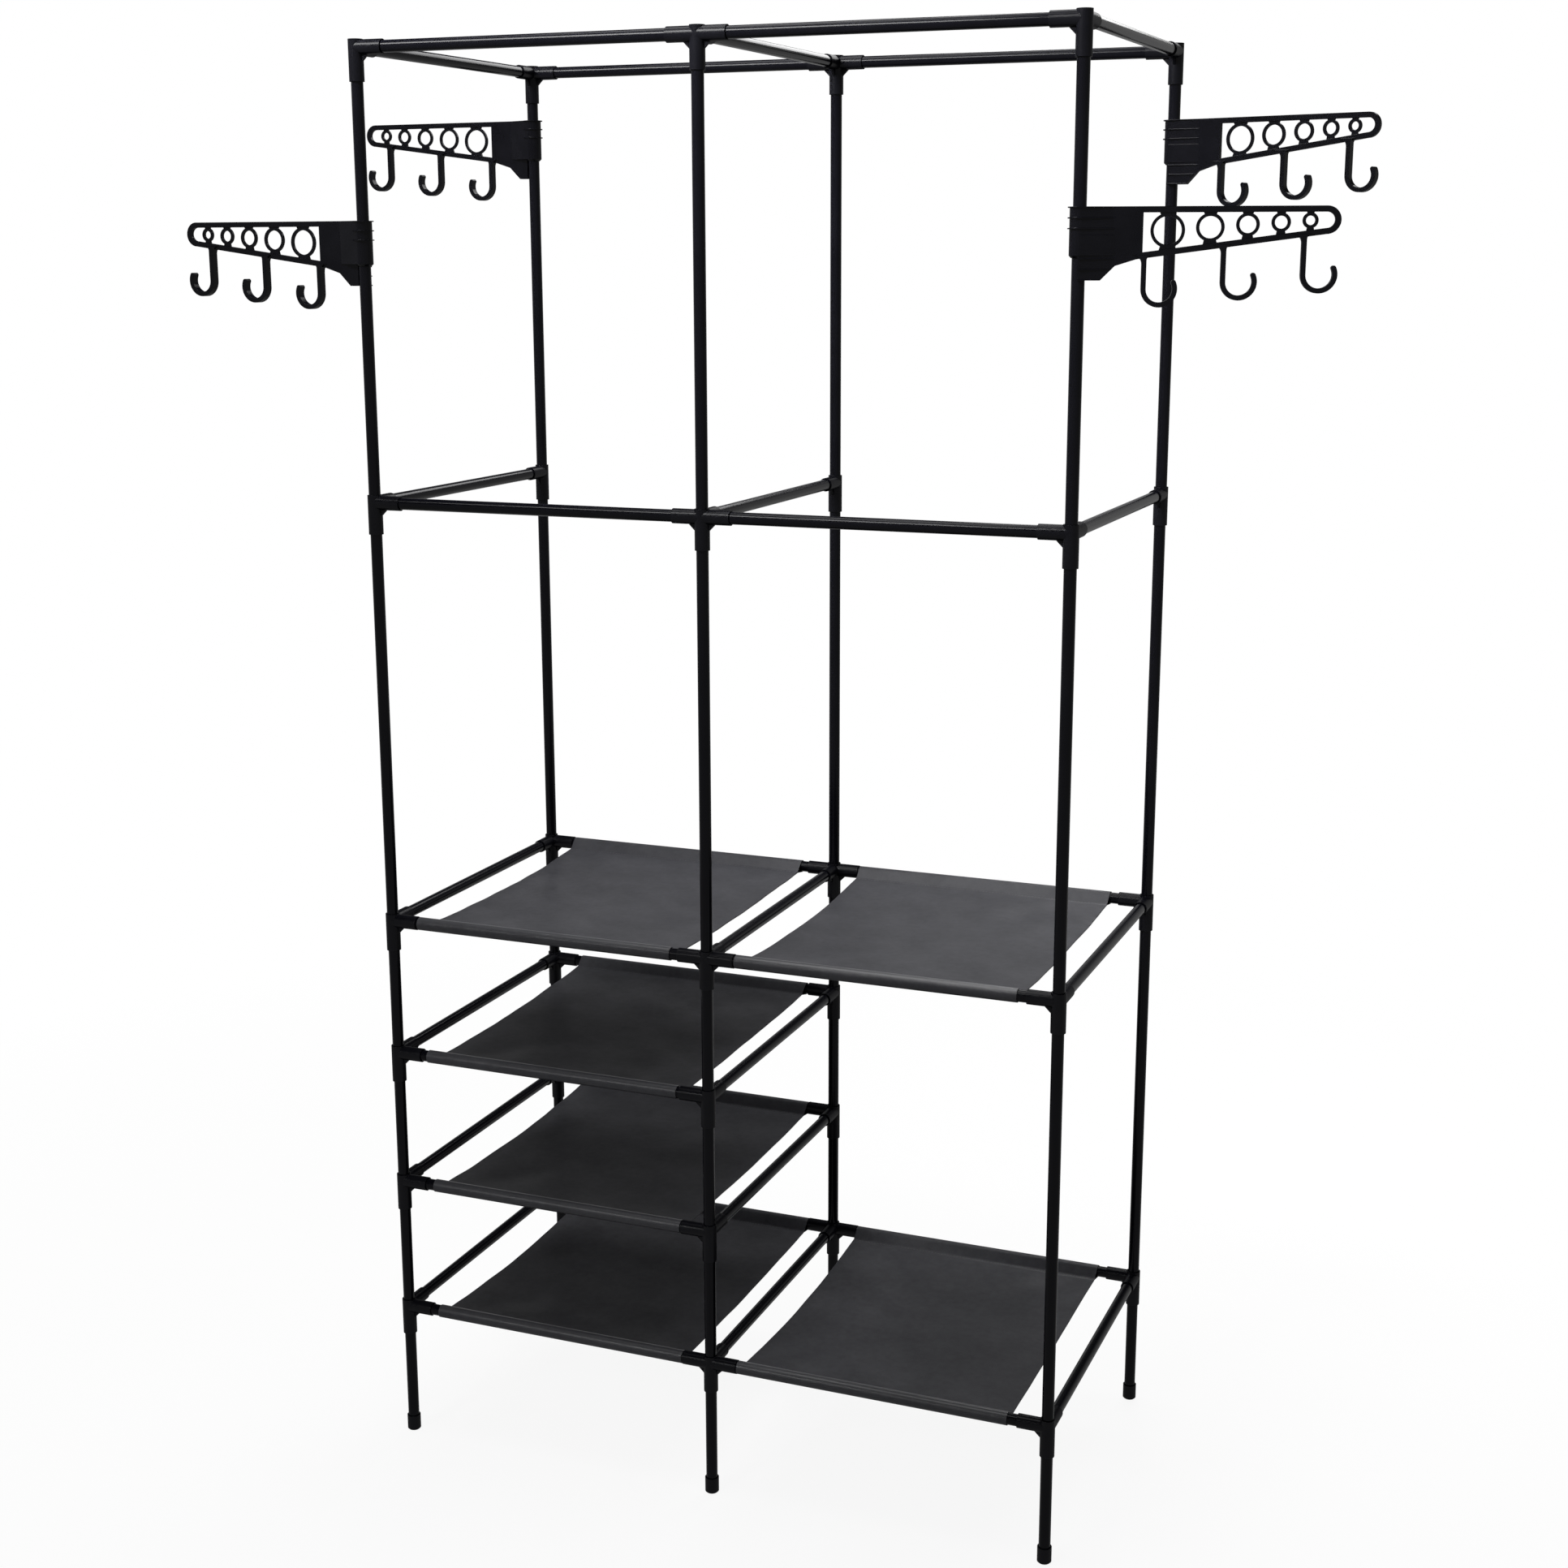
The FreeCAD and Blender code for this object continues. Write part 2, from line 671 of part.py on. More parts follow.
legs, feet = [], []
for row, y in POST_Y.items():
    for side, x in POST_X.items():
        spans = {"lower": ("bottom",), "middle": ("shelf_top",), "upper": ("middle",)}
        masters = {"lower": tall_upright, "middle": long_upright, "upper": long_upright}
        if side in posts_at("lower"):
            spans["lower"] = ("bottom", "lower", "upper")
            masters["lower"] = short_upright
        for span, levels in spans.items():
            pieces = [copy(masters[span], x, y, f"{LEVEL_Z[n]} - stop_below") for n in levels]
            add_node(f"upright_{row}_{side}_{span}", pieces)
        legs.append(copy(leg_tube, x, y, "foot_floor"))
        feet.append(copy(foot, x, y, "0"))
add_node("legs", legs)
add_node("feet", feet)

# Shelves and hook racks

BAY_MIDDLE = {"left": "-bay_pitch / 2", "right": "bay_pitch / 2"}
for level in ("bottom", "lower", "upper", "shelf_top"):
    for bay, x in BAY_MIDDLE.items():
        if bay == "left" or level not in LEFT_BAY_LEVELS:
            name = f"{level}_{bay}"
            slid = f"{x} + shelf_end_gap * slide_{name}"
            add_node(f"shelf_{name}", [copy(shelf, slid, "0", LEVEL_Z[level])])
for row, y in POST_Y.items():
    for side in ("left", "right"):
        piece = copy(rack, POST_X[side], y, f"{LEVEL_Z['top']} - {row}_{side}_drop")
        piece.setExpression("Placement.Rotation.Angle", qualified(f"{row}_{side}_turn"))
        add_node(f"hook_rack_{row}_{side}", [piece])

doc.recompute()
for obj in doc.Objects:
    if "Invalid" in obj.State or "Error" in obj.State:
        raise RuntimeError(f"{obj.Label} does not compute")
os.makedirs("parts", exist_ok=True)
for node in nodes:
    if node.Shape.isNull() or not node.Shape.isValid():
        raise RuntimeError(f"{node.Label} has no valid shape")
    node.Shape.exportStep(f"parts/{node.Label}.step")
print(f"{len(nodes)} nodes, {sum(len(n.Shape.Solids) for n in nodes)} solids")
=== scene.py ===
import math

import bmesh
import bpy
from mathutils import Matrix, Vector, noise


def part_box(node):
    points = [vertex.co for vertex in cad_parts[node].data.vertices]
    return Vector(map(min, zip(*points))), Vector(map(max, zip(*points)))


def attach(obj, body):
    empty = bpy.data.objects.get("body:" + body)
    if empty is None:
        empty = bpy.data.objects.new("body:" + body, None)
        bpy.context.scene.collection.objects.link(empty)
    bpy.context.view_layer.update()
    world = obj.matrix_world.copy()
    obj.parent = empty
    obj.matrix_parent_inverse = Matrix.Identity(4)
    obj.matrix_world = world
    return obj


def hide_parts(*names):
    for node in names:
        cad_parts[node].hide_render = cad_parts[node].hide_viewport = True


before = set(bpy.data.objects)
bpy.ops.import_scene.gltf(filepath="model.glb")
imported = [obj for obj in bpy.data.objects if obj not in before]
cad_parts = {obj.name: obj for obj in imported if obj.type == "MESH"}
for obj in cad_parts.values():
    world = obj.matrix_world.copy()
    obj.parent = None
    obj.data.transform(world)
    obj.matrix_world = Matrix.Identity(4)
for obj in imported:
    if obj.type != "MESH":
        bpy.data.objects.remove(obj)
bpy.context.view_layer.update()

# Camera, fitted to the photograph's posts, rails and feet

PHOTO_PX = 1932
FOCAL_PX = 2807
SENSOR_MM = 36.0
CAMERA_AT = Vector((1.0375, -2.5497, 1.4961))
CAMERA_YAW, CAMERA_PITCH, CAMERA_ROLL = 21.89, -13.11, -0.13
CLIP_NEAR, CLIP_FAR = 0.05, 60.0

# Fabric shelves: the cloth's middle runs at ROLL_R round a rail. The hem lies under the sheet,
# from the seam at SEAM_AT to its edge at HEM_AT, both measured from the rail's middle.

CLOTH = 0.0007
ROLL_R = 0.0077
CAD_ROLL_R = 0.0081
SEAM_AT = 0.0165
HEM_AT = 0.0245
HEM_BELOW = CLOTH * 1.15
FRONT_RAIL_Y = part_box("shelf_bottom_left")[0].y + CAD_ROLL_R
FRONT, BACK = 0, 1

# The sheet's free sides draw in by WAIST and hang lower by a share of the sag

WAIST = 0.003
EDGE_SAG, EDGE_POWER = 0.10, 6

# Steps of the cloth's mesh along each stretch of the cut, and across it

HEM_STEPS, UNDER_STEPS, ROLL_STEPS, OVER_STEPS, SHEET_STEPS = 4, 6, 30, 7, 70
COLUMNS = 64

# Creases: height, noise scale across and along, shift, and what the seed is multiplied by

WIDE_CREASES = (0.0012, 9.0, 4.5, 0.0, 7.1)
MID_CREASES = (0.0008, 19.0, 9.0, 3.0, 3.7)
FINE_CREASES = (0.0003, 42.0, 21.0, 8.0, 1.9)
CREASE_SLANT = 0.6
CALM_ENDS, CALM_POWER = 2.25, 1.3

# Dents that run in from the corners: depth in metres, the rest as shares of the sheet

PULL_DEEP = 0.0011
PULL_SLOPE, PULL_WIDE, PULL_AT, PULL_LONG = 0.8, 0.09, 0.18, 0.14

# Slack of the cloth round the rails

ROLL_SLACK, LAP_SLACK = 0.002, 0.0001
SLACK_SCALE, SLACK_TURN, SLACK_SEED, SLACK_BACK = 14.0, 0.8, 5.3, 9.0
LAP_CALM = 0.4

# Narrow hems along the free sides

SIDE_HEM = 0.009
SIDE_HEM_INSET = 0.0002
SIDE_HEM_BELOW, SIDE_HEM_THICK = CLOTH * 1.1, CLOTH * 0.9
SIDE_HEM_STEPS, SIDE_HEM_COLUMNS = 60, 3

# Stitches of the sleeve seams

STITCH_PITCH, STITCH_LONG, THREAD_R = 0.0044, 0.0032, 0.00024
STITCH_PAST_SEAM, SEAM_MARGIN = 0.0014, 0.006
STITCH_OVER, STITCH_UNDER = CLOTH * 0.5, CLOTH * 1.65
STITCH_STEPS, THREAD_SIDES = 4, 6
STITCH_BOW, STITCH_SINK, THREAD_END = 0.9, 0.35, 0.55

# Each shelf: the height its sheet pulls at on the front and the back rail, from the rail's middle,
# its sag, how rumpled it is and the seed of its creases

SHELVES = {
    "shelf_shelf_top_left": (-0.0040, -0.0030, 0.0065, 2.0, 1.0),
    "shelf_shelf_top_right": (-0.0030, -0.0030, 0.0085, 1.4, 2.0),
    "shelf_upper_left": (-0.0060, -0.0020, 0.0045, 1.7, 3.0),
    "shelf_lower_left": (-0.0040, -0.0040, 0.0060, 1.2, 4.0),
    "shelf_bottom_left": (-0.0030, -0.0040, 0.0070, 1.4, 5.0),
    "shelf_bottom_right": (-0.0030, -0.0030, 0.0070, 1.1, 6.0),
}

# The range in which most noise values lie

NOISE_LOW, NOISE_HIGH = 0.3, 0.7

# The room's own light, the level that shows on the ceiling, and the rise at which the white walls
# begin to darken and at which the ceiling begins

ROOM_LIGHT = 0.20
CEILING = 0.08
WALL_TOP, CEILING_FROM = 0.15, 0.42
WHITE = (1.0, 1.0, 1.0, 1.0)

# The floor: its tints, the share of them that counts for the light it throws up at the frame,
# and how white it shows near the frame, fading to full white further out

FLOOR_TINTS = (0.86, 0.86, 0.86), (0.88, 0.88, 0.88)
FLOOR_THROW = 0.30
FLOOR_WHITE = 0.91
FADE_FROM, FADE_TO = 0.6, 2.2
FLOOR_HALF, FLOOR_CELLS = 30.0, 8

# Lamps: name, place, what it points at, size, watts and the beam's angle in degrees

OPEN_BEAM = 180.0
LAMPS = (
    ("overhead", (-0.50, -0.45, 3.10), (-0.30, -0.21, 1.70), (1.25, 0.45), 20.0, OPEN_BEAM),
    ("zenith", (-0.30, 0.40, 3.30), (0.0, 0.1, 0.8), (1.2, 0.7), 28.0, OPEN_BEAM),
    ("behind", (0.20, 2.00, 2.60), (0.0, 0.0, 0.60), (1.4, 0.8), 38.0, OPEN_BEAM),
    ("front_left", (-1.6, -4.0, 2.8), (-0.26, -0.15, 0.38), (0.9, 0.7), 0.78, 20.0),
    ("high_rails", (-0.62, -1.15, 2.45), (0.0, -0.10, 1.72), (1.2, 0.4), 9.6, 52.0),
)


def add(tree, kind, inputs=None, **settings):
    """A shader node with its settings, and its inputs linked or given a number."""
    made = tree.nodes.new(kind)
    for name, value in settings.items():
        setattr(made, name, value)
    for name, value in (inputs or {}).items():
        if isinstance(value, bpy.types.NodeSocket):
            tree.links.new(value, made.inputs[name])
        else:
            made.inputs[name].default_value = value
    return made


def empty_material(name):
    made = bpy.data.materials.new(name)
    made.use_nodes = True
    made.node_tree.nodes.clear()
    return made, made.node_tree


def close_material(tree, surface):
    out = tree.nodes.new("ShaderNodeOutputMaterial")
    tree.links.new(surface, out.inputs["Surface"])


def principled(tree, inputs):
    close_material(tree, add(tree, "ShaderNodeBsdfPrincipled", inputs).outputs["BSDF"])


def object_place(tree):
    return add(tree, "ShaderNodeTexCoord").outputs["Object"]


def part_of(tree, vector, axis):
    """One part, X, Y or Z, of a vector."""
    return add(tree, "ShaderNodeSeparateXYZ", {"Vector": vector}).outputs[axis]


def calc(tree, operation, *values):
    return add(tree, "ShaderNodeMath", dict(enumerate(values)), operation=operation).outputs["Value"]


def total(tree, *parts):
    """The sum of values, each times its weight."""
    found = 0.0
    for value, weight in parts:
        found = calc(tree, "MULTIPLY_ADD", value, weight, found)
    return found


def noise_on(tree, place, scale, detail, rough=0.5):
    inputs = {"Vector": place, "Scale": scale, "Detail": detail, "Roughness": rough}
    return add(tree, "ShaderNodeTexNoise", inputs).outputs["Fac"]


def spread(tree, value, low, high, start=NOISE_LOW, end=NOISE_HIGH):
    """The value's range from start to end spread over low to high."""
    inputs = {"Value": value, "From Min": start, "From Max": end, "To Min": low, "To Max": high}
    return add(tree, "ShaderNodeMapRange", inputs).outputs["Result"]


def tint_between(tree, value, dark, light):
    """A colour between two, by the value."""
    made = add(tree, "ShaderNodeValToRGB", {"Fac": value})
    low, high = made.color_ramp.elements
    low.position, high.position = NOISE_LOW, NOISE_HIGH
    low.color, high.color = (*dark, 1.0), (*light, 1.0)
    return made.outputs["Color"]


def bump_on(tree, height, strength, distance, **more):
    inputs = {"Height": height, "Strength": strength, "Distance": distance, **more}
    return add(tree, "ShaderNodeBump", inputs).outputs["Normal"]


def tube_paint():
    """Black stove paint over drawn steel: faint orange peel and a slow change of gloss along the tube."""
    made, tree = empty_material("tube_paint")
    place = object_place(tree)
    cloud = noise_on(tree, place, scale=14.0, detail=4.0, rough=0.6)
    peel = noise_on(tree, place, scale=620.0, detail=2.0)
    speck = noise_on(tree, place, scale=2600.0, detail=1.0)
    dull = total(tree, (cloud, 0.7), (speck, 0.3))
    facing = add(tree, "ShaderNodeLayerWeight", {"Blend": 0.5}).outputs["Facing"]
    uneven = total(tree, (peel, 1.0), (speck, 0.3))
    bump = bump_on(tree, uneven, strength=0.08, distance=0.0002)
    principled(tree, {
        "Base Color": tint_between(tree, cloud, (0.0020, 0.0020, 0.0036), (0.0036, 0.0036, 0.0056)),
        "Roughness": spread(tree, dull, 0.45, 0.60),
        "Specular IOR Level": 0.0,
        "Coat Weight": spread(tree, facing, 0.12, 0.30, start=0.42, end=0.66),
        "Coat Roughness": 0.18,
        "Normal": bump,
        "Coat Normal": bump,
    })
    return made


def moulded_plastic(name, dark, light, gloss, grain):
    """Black moulded plastic: fine spark grain, faint flow clouds and edges rounded by the tool."""
    made, tree = empty_material(name)
    place = object_place(tree)
    cloud = noise_on(tree, place, scale=32.0, detail=4.0, rough=0.6)
    grit = noise_on(tree, place, scale=1500.0, detail=2.0)
    wave = noise_on(tree, place, scale=130.0, detail=2.0)
    dull = total(tree, (cloud, 0.6), (grit, 0.4))
    rounded = add(tree, "ShaderNodeBevel", {"Radius": 0.0006}, samples=6).outputs["Normal"]
    uneven = total(tree, (grit, 1.0), (wave, 0.8))
    bump = bump_on(tree, uneven, strength=grain, distance=0.0003, Normal=rounded)
    principled(tree, {
        "Base Color": tint_between(tree, cloud, dark, light),
        "Roughness": spread(tree, dull, 0.45, 0.60),
        "Specular IOR Level": 0.0,
        "Coat Weight": 0.14,
        "Coat Roughness": gloss,
        "Normal": bump,
        "Coat Normal": bump,
    })
    return made


def pressed_dots(tree, place, pitch=0.0016, slant=45.0):
    """Rows of dots in a slanting grid."""
    inputs = {"Vector": place, "Rotation": (0.0, 0.0, math.radians(slant))}
    turned = add(tree, "ShaderNodeMapping", inputs).outputs["Vector"]
    waves = []
    for axis in "XY":
        turn = calc(tree, "MULTIPLY", part_of(tree, turned, axis), math.tau / pitch)
        waves.append(calc(tree, "COSINE", turn))
    return calc(tree, "MULTIPLY", *waves)


def painted_sleeve_highlight(tree, place):
    """1 on top of the front sleeves, where the coat is made glossier so the lamps above leave a painted
    highlight; not wear.
    """
    normal = add(tree, "ShaderNodeNewGeometry").outputs["Normal"]
    roll_starts, roll_ends = FRONT_RAIL_Y + 0.004, FRONT_RAIL_Y + 0.010
    on_roll = spread(tree, part_of(tree, place, "Y"), 1.0, 0.0, roll_starts, roll_ends)
    on_top = spread(tree, part_of(tree, normal, "Z"), 0.0, 1.0, start=0.25, end=0.60)
    return calc(tree, "MULTIPLY", on_roll, on_top)


def shelf_cloth():
    """Dark grey bonded cloth: pressed dots in a slanting grid, cloudy fibres and a soft sheen."""
    made, tree = empty_material("shelf_cloth")
    place = object_place(tree)
    fibre = noise_on(tree, place, scale=900.0, detail=5.0, rough=0.7)
    cloud = noise_on(tree, place, scale=16.0, detail=5.0, rough=0.55)
    patch = noise_on(tree, place, scale=5.0, detail=2.0)
    mottle = noise_on(tree, place, scale=110.0, detail=4.0, rough=0.65)
    shade = total(tree, (cloud, 0.40), (patch, 0.20), (mottle, 0.28), (fibre, 0.12))
    height = total(tree, (pressed_dots(tree, place), -0.45), (fibre, 1.0))
    principled(tree, {
        "Base Color": tint_between(tree, shade, (0.027, 0.027, 0.0312), (0.061, 0.061, 0.0675)),
        "Roughness": spread(tree, fibre, 0.60, 0.80),
        "Specular IOR Level": 0.0,
        # Coat weight rises on top of the front sleeves only: a painted highlight there.
        "Coat Weight": spread(tree, painted_sleeve_highlight(tree, place), 0.24, 0.70, start=0.0, end=1.0),
        "Coat Roughness": 0.36,
        "Normal": bump_on(tree, height, strength=0.35, distance=0.0002),
        "Coat Normal": bump_on(tree, height, strength=0.10, distance=0.0002),
    })
    return made


def sewing_thread():
    """Grey polyester thread, twisted along its length."""
    made, tree = empty_material("sewing_thread")
    inputs = {"Vector": object_place(tree), "Scale": 420.0, "Distortion": 1.5}
    bands = {"wave_type": "BANDS", "bands_direction": "DIAGONAL"}
    twist = add(tree, "ShaderNodeTexWave", inputs, **bands).outputs["Fac"]
    principled(tree, {
        "Base Color": tint_between(tree, twist, (0.034, 0.034, 0.038), (0.062, 0.062, 0.067)),
        "Roughness": spread(tree, twist, 0.45, 0.60),
        "Normal": bump_on(tree, twist, strength=0.5, distance=0.0001),
    })
    return made


def dress(node, made):
    """Gives a CAD node's slots a better material."""
    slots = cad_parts[node].material_slots
    if not slots:
        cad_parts[node].data.materials.append(made)
    for found in slots:
        found.material = made


def dress_frame():
    """Paint for the tubes, plastic for the connectors, feet and racks."""
    paint = tube_paint()
    connector = moulded_plastic(
        "connector_plastic",
        dark=(0.0026, 0.0026, 0.0042),
        light=(0.0050, 0.0050, 0.0070),
        gloss=0.28,
        grain=0.14,
    )
    rack = moulded_plastic(
        "rack_plastic",
        dark=(0.0012, 0.0012, 0.0024),
        light=(0.0028, 0.0028, 0.0044),
        gloss=0.18,
        grain=0.07,
    )
    starts = (("connectors_", connector), ("feet", connector), ("hook_rack_", rack))
    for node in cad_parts:
        if not node.startswith("shelf_"):
            dress(node, next((made for start, made in starts if node.startswith(start)), paint))


def between(a, b, s):
    return a + (b - a) * s


def bow(t):
    """0 at both ends and 1 in the middle."""
    return 4.0 * t * (1.0 - t)


def on_roll(angle):
    """A place round a rail's middle, as (along, height)."""
    return ROLL_R * math.cos(angle), ROLL_R * math.sin(angle)


def lap(start, end, steps):
    """The places between two ends of a straight stretch, without the ends."""
    shares = [i / steps for i in range(1, steps)]
    return [("lap", between(start[0], end[0], s), between(start[1], end[1], s)) for s in shares]


def corner_pull(u, t):
    """How deep the dents are that run in from the four corners."""
    found = 0.0
    for from_side in (u, 1.0 - u):
        for from_end in (t, 1.0 - t):
            off = (from_side * PULL_SLOPE - from_end) / PULL_WIDE
            run = (from_side - PULL_AT) / PULL_LONG
            found += math.exp(-(off**2)) * math.exp(-(run**2))
    return PULL_DEEP * found


class Shelf:
    """A cloth stretched between two rails, with a sewn sleeve round each.

    Places across it are u, from 0 to 1. Places from the front rail's middle to the back one's are
    along, in metres, or t, from 0 to 1. Heights are from the rails' middle.
    """

    def __init__(self, node, at_front, at_back, sag, rumple, seed):
        low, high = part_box(node)
        self.at_front, self.at_back = at_front, at_back
        self.sag, self.rumple, self.seed = sag, rumple, seed
        self.left, self.right = low.x, high.x
        self.span = self.right - self.left
        self.front = low.y + CAD_ROLL_R
        self.deep = high.y - CAD_ROLL_R - self.front
        self.axis = high.z - CAD_ROLL_R

    def ripple(self, creases, slant, along):
        high, scale_across, scale_along, shift, seed_times = creases
        place = (slant * scale_across + shift, along * scale_along, self.seed * seed_times)
        return high * noise.noise(Vector(place))

    def creases(self, u, along):
        """How far the open sheet stands off its smooth sag."""
        t = along / self.deep
        calm = min(1.0, max(0.0, bow(t) * CALM_ENDS)) ** CALM_POWER
        slant = u * self.span + CREASE_SLANT * along
        wide = self.ripple(WIDE_CREASES, slant, along)
        small = self.ripple(MID_CREASES, slant, along) + self.ripple(FINE_CREASES, slant, along)
        return calm * (wide + self.rumple * small - corner_pull(u, t))

    def slope(self, t):
        """The smooth sheet's height in its middle."""
        return between(self.at_front, self.at_back, t) - self.sag * bow(t)

    def sheet_height(self, u, along):
        t = along / self.deep
        edge = abs(2.0 * u - 1.0) ** EDGE_POWER
        return self.slope(t) - self.sag * EDGE_SAG * edge * bow(t) + self.creases(u, along)

    def from_front(self, end, off_rail):
        """How far along a place is that lies off the front or the back rail."""
        return off_rail if end == FRONT else self.deep - off_rail

    def seam_height(self, end):
        return self.slope(self.from_front(end, SEAM_AT) / self.deep)

    def sleeve(self, end):
        """The path from a hem's free edge round the rail to the seam, as (kind, off_rail, height)."""
        seam_up = self.seam_height(end)
        tilt = math.atan2(seam_up, SEAM_AT)
        wide = math.acos(ROLL_R / math.hypot(SEAM_AT, seam_up))
        path = [("hem", between(HEM_AT, SEAM_AT, i / HEM_STEPS), 0.0) for i in range(HEM_STEPS + 1)]
        path += lap((SEAM_AT, seam_up - HEM_BELOW), on_roll(tilt - wide), UNDER_STEPS)
        for i in range(ROLL_STEPS + 1):
            angle = tilt - wide - (math.tau - 2.0 * wide) * i / ROLL_STEPS
            path.append(("roll", *on_roll(angle)))
        path += lap(on_roll(tilt + wide), (SEAM_AT, seam_up), OVER_STEPS)
        return path

    def cut(self):
        """The whole cut from the front hem's edge to the back hem's, as (end, kind, along, height)."""
        path = [(FRONT, *step) for step in self.sleeve(FRONT)]
        run = self.deep - 2.0 * SEAM_AT
        for i in range(SHEET_STEPS + 1):
            path.append((FRONT, "sheet", SEAM_AT + run * i / SHEET_STEPS, 0.0))
        for kind, off_rail, height in reversed(self.sleeve(BACK)):
            path.append((BACK, kind, self.from_front(BACK, off_rail), height))
        return path

    def waist(self, u, along):
        pulled = WAIST * bow(min(1.0, max(0.0, along / self.deep)))
        return self.left + pulled + u * (self.span - 2.0 * pulled)

    def loosen(self, u, end, kind, along, height):
        """A sleeve's place with the slack of the cloth, and near the seam with the sheet's creases."""
        off_rail = along if end == FRONT else along - self.deep
        turn = math.atan2(height, abs(off_rail)) * SLACK_TURN
        seed = self.seed * SLACK_SEED + end * SLACK_BACK
        slack = noise.noise(Vector((u * SLACK_SCALE, turn, seed)))
        if kind == "roll":
            return along + off_rail * ROLL_SLACK * slack, height * (1.0 + ROLL_SLACK * slack)
        near = max(0.0, abs(off_rail) / SEAM_AT - LAP_CALM) / (1.0 - LAP_CALM)
        crease = self.sheet_height(u, self.from_front(end, SEAM_AT)) - self.seam_height(end)
        return along, height + near * crease + LAP_SLACK * slack

    def point(self, u, end, kind, along, height):
        """A point of the cloth; kind says which stretch of the cut it is on."""
        x = self.waist(u, along)
        if kind == "hem":
            height = self.sheet_height(u, along) - HEM_BELOW
        elif kind == "sheet":
            height = self.sheet_height(u, along)
        else:
            along, height = self.loosen(u, end, kind, along, height)
        return Vector((x, self.front + along, self.axis + height))

    def sheet_point(self, u, along):
        return self.point(u, FRONT, "sheet", along, 0.0)

    def length(self):
        """The cut's length along the middle of the shelf."""
        run = [self.point(0.5, *step) for step in self.cut()]
        return sum((b - a).length for a, b in zip(run, run[1:]))


def mesh_piece(name, shape, made):
    mesh = bpy.data.meshes.new(name)
    shape.to_mesh(mesh)
    shape.free()
    for face in mesh.polygons:
        face.use_smooth = True
    mesh.materials.append(made)
    piece = bpy.data.objects.new(name, mesh)
    bpy.context.collection.objects.link(piece)
    return piece


def grid(shape, rows):
    """Quads between rows of points."""
    rows = [[shape.verts.new(p) for p in row] for row in rows]
    for a, b in zip(rows, rows[1:]):
        for i in range(len(a) - 1):
            shape.faces.new((a[i], a[i + 1], b[i + 1], b[i]))


def thicken(piece, thickness):
    solid = piece.modifiers.new("thickness", "SOLIDIFY")
    solid.thickness = thickness
    solid.offset = 0.0


def across(count):
    """Places across a shelf, closer together at its side edges."""
    swings = [math.cos(math.pi * i / count) for i in range(count + 1)]
    return [0.5 - 0.5 * swing * (0.6 + 0.4 * abs(swing)) for swing in swings]


def cloth_piece(node, shelf, made):
    shape = bmesh.new()
    grid(shape, [[shelf.point(u, *step) for u in across(COLUMNS)] for step in shelf.cut()])
    piece = mesh_piece(node.replace("shelf_", "cloth_", 1), shape, made)
    thicken(piece, CLOTH)
    return piece


def side_hems(node, shelf, made):
    """The narrow turned-under hem along each free side."""
    shape = bmesh.new()
    below = Vector((0.0, 0.0, SIDE_HEM_BELOW))
    wide = SIDE_HEM / shelf.span
    insets = [wide * j / SIDE_HEM_COLUMNS + SIDE_HEM_INSET for j in range(SIDE_HEM_COLUMNS + 1)]
    for places in (insets, [1.0 - inset for inset in reversed(insets)]):
        rows = []
        for i in range(SIDE_HEM_STEPS + 1):
            along = HEM_AT + (shelf.deep - 2.0 * HEM_AT) * i / SIDE_HEM_STEPS
            rows.append([shelf.sheet_point(u, along) - below for u in places])
        grid(shape, rows)
    piece = mesh_piece(node.replace("shelf_", "side_hems_", 1), shape, made)
    thicken(piece, SIDE_HEM_THICK)
    return piece


def stitch(shape, a, b, up):
    """One stitch, a short bowed thread from a to b that dips into the cloth at both ends."""
    ahead = (b - a).normalized()
    side = ahead.cross(up).normalized()
    rings = []
    for i in range(STITCH_STEPS + 1):
        s = i / STITCH_STEPS
        swell = math.sin(math.pi * s)
        middle = a.lerp(b, s) + up * (THREAD_R * (STITCH_BOW * swell - STITCH_SINK))
        wide = THREAD_R * between(THREAD_END, 1.0, swell)
        ring = []
        for j in range(THREAD_SIDES):
            turn = math.tau * j / THREAD_SIDES
            ring.append(shape.verts.new(middle + (side * math.cos(turn) + up * math.sin(turn)) * wide))
        rings.append(ring)
    for p, q in zip(rings, rings[1:]):
        for j in range(THREAD_SIDES):
            after = (j + 1) % THREAD_SIDES
            shape.faces.new((p[j], p[after], q[after], q[j]))
    shape.faces.new(rings[0][::-1])
    shape.faces.new(rings[-1])


def stitches(node, shelf, made):
    """The sleeve seams, seen on the sheet above and on the hem below."""
    shape = bmesh.new()
    up = Vector((0.0, 0.0, 1.0))
    count = int((shelf.span - SEAM_MARGIN) / STITCH_PITCH)
    start = (shelf.span - count * STITCH_PITCH) / 2.0
    for end in (FRONT, BACK):
        along = shelf.from_front(end, SEAM_AT + STITCH_PAST_SEAM)
        for i in range(count):
            x = start + i * STITCH_PITCH
            a = shelf.sheet_point(x / shelf.span, along)
            b = shelf.sheet_point((x + STITCH_LONG) / shelf.span, along)
            stitch(shape, a + up * STITCH_OVER, b + up * STITCH_OVER, up)
            stitch(shape, a - up * STITCH_UNDER, b - up * STITCH_UNDER, -up)
    bmesh.ops.recalc_face_normals(shape, faces=shape.faces)
    return mesh_piece(node.replace("shelf_", "stitches_", 1), shape, made)


def build_shelves(cloth, thread):
    body = "frame"
    for node, sizes in SHELVES.items():
        shelf = Shelf(node, *sizes)
        sheet = cloth_piece(node, shelf, cloth)
        hems = side_hems(node, shelf, cloth)
        seams = stitches(node, shelf, thread)
        for piece in (sheet, hems, seams):
            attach(piece, body)
        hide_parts(node)
        shelf.length()


